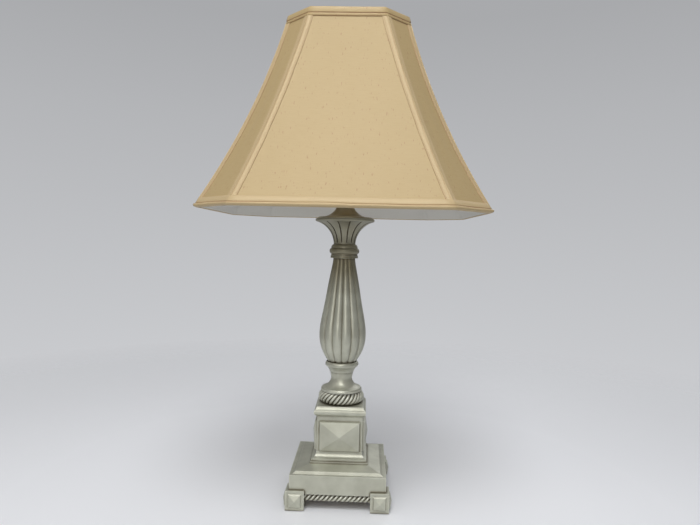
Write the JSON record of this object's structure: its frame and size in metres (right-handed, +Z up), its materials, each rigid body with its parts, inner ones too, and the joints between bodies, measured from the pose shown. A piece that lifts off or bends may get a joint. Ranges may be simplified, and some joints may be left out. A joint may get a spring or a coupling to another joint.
{
  "type": "table lamp",
  "caption": "Candlestick table lamp: square footed plinth, fluted baluster column, harp and cut-corner bell shade.",
  "frame": {"origin": "centre of the lamp's footprint, on the table, under the column", "axes": "+Z up along the column, -Y towards the front, +X to the right as seen from the front"},
  "size_m": [0.4466, 0.3646, 0.8058],
  "materials": {
    "body_finish": "antiqued pewter metallic paint over cast resin, bright edges, brown glaze in the recesses",
    "antique_finish": "pewter paint under a heavy brown glaze, satin",
    "felt": "dark felt pad",
    "cover_board": "dark fibreboard",
    "iron": "rough casting",
    "bushing_plastic": "moulded bushing",
    "steel_hardware": "zinc plated",
    "brass_hardware": "satin brass plating",
    "liner_fibre": "pressed fibre tube",
    "switch_phenolic": "dark phenolic",
    "bulb_metal": "rolled screw base",
    "bulb_glass": "frosted white glass",
    "shade_silk": "golden beige slub weave with short pinkish flecks, soft sheen",
    "shade_trim": "folded ribbon of the shade's own cloth with a stitched line",
    "shade_lining_cloth": "off-white satin lining",
    "finial_finish": "antiqued pewter over brass"
  },
  "bodies": {
    "lamp_base": {"corner_feet": "body_finish", "rope_mouldings": "body_finish", "base_plinth": "body_finish", "pedestal_block": "body_finish", "rope_ring": "body_finish", "bell_neck": "body_finish", "cup": "body_finish", "fluted_baluster": "body_finish", "collar_ring": "body_finish", "capital": "body_finish", "drip_pan": "antique_finish", "foot_pads": "felt", "base_cover": "cover_board", "base_weight": "iron", "cord_bushing": "bushing_plastic", "threaded_pipe": "steel_hardware", "bottom_washer": "steel_hardware", "lock_washer": "steel_hardware", "pipe_nut": "steel_hardware", "terminal_screws": "steel_hardware", "cap_set_screw": "steel_hardware", "seating_ring": "brass_hardware", "harp_saddle": "brass_hardware", "socket_cap": "brass_hardware", "socket_shell": "brass_hardware", "screw_shell": "brass_hardware", "centre_contact": "brass_hardware", "insulating_liner": "liner_fibre", "switch_block": "switch_phenolic"},
    "switch_knob": {"switch_shaft": "brass_hardware", "switch_knob": "switch_phenolic"},
    "bulb": {"bulb_base": "bulb_metal", "bulb_glass": "bulb_glass"},
    "harp": {"harp": "brass_hardware"},
    "ferrule_left": {"ferrule_left": "brass_hardware"},
    "ferrule_right": {"ferrule_right": "brass_hardware"},
    "harp_stud": {"harp_stud": "brass_hardware"},
    "shade": {"corner_panel_front_right": "shade_silk", "side_panel_right": "shade_silk", "corner_panel_back_right": "shade_silk", "back_panel": "shade_silk", "corner_panel_back_left": "shade_silk", "side_panel_left": "shade_silk", "corner_panel_front_left": "shade_silk", "front_panel": "shade_silk", "top_trim": "shade_trim", "bottom_trim": "shade_trim", "rib_trims": "shade_trim", "shade_lining": "shade_lining_cloth", "top_ring_wire": "steel_hardware", "bottom_ring_wire": "steel_hardware", "rib_wires": "steel_hardware", "spider_hub": "steel_hardware", "spider_arms": "steel_hardware"},
    "finial": {"finial": "finial_finish"}
  },
  "joints": [
    {"name": "switch_turn", "type": "hinge", "parent": "lamp_base", "child": "switch_knob", "pos_m": [0, -0.0196, 0.521], "axis": [0, -1, 0], "continuous": true},
    {"name": "bulb_turn", "type": "hinge", "parent": "lamp_base", "child": "bulb", "pos_m": [0, 0, 0.5365], "axis": [0, 0, 1], "continuous": true},
    {"name": "harp_lift", "type": "slide", "parent": "lamp_base", "child": "harp", "axis": [0, 0, 1], "range_m": [0, 0.03]},
    {"name": "ferrule_left_lift", "type": "slide", "parent": "harp", "child": "ferrule_left", "axis": [0, 0, 1], "range_m": [0, 0.016]},
    {"name": "ferrule_right_lift", "type": "slide", "parent": "harp", "child": "ferrule_right", "axis": [0, 0, 1], "range_m": [0, 0.016]},
    {"name": "shade_turn", "type": "hinge", "parent": "harp", "child": "harp_stud", "pos_m": [0, 0, 0.7701], "axis": [0, 0, 1], "continuous": true},
    {"name": "shade_lift", "type": "slide", "parent": "harp_stud", "child": "shade", "axis": [0, 0, 1], "range_m": [0, 0.03]},
    {"name": "finial_turn", "type": "hinge", "parent": "shade", "child": "finial", "pos_m": [0, 0, 0.7751], "axis": [0, 0, 1], "continuous": true}
  ]
}
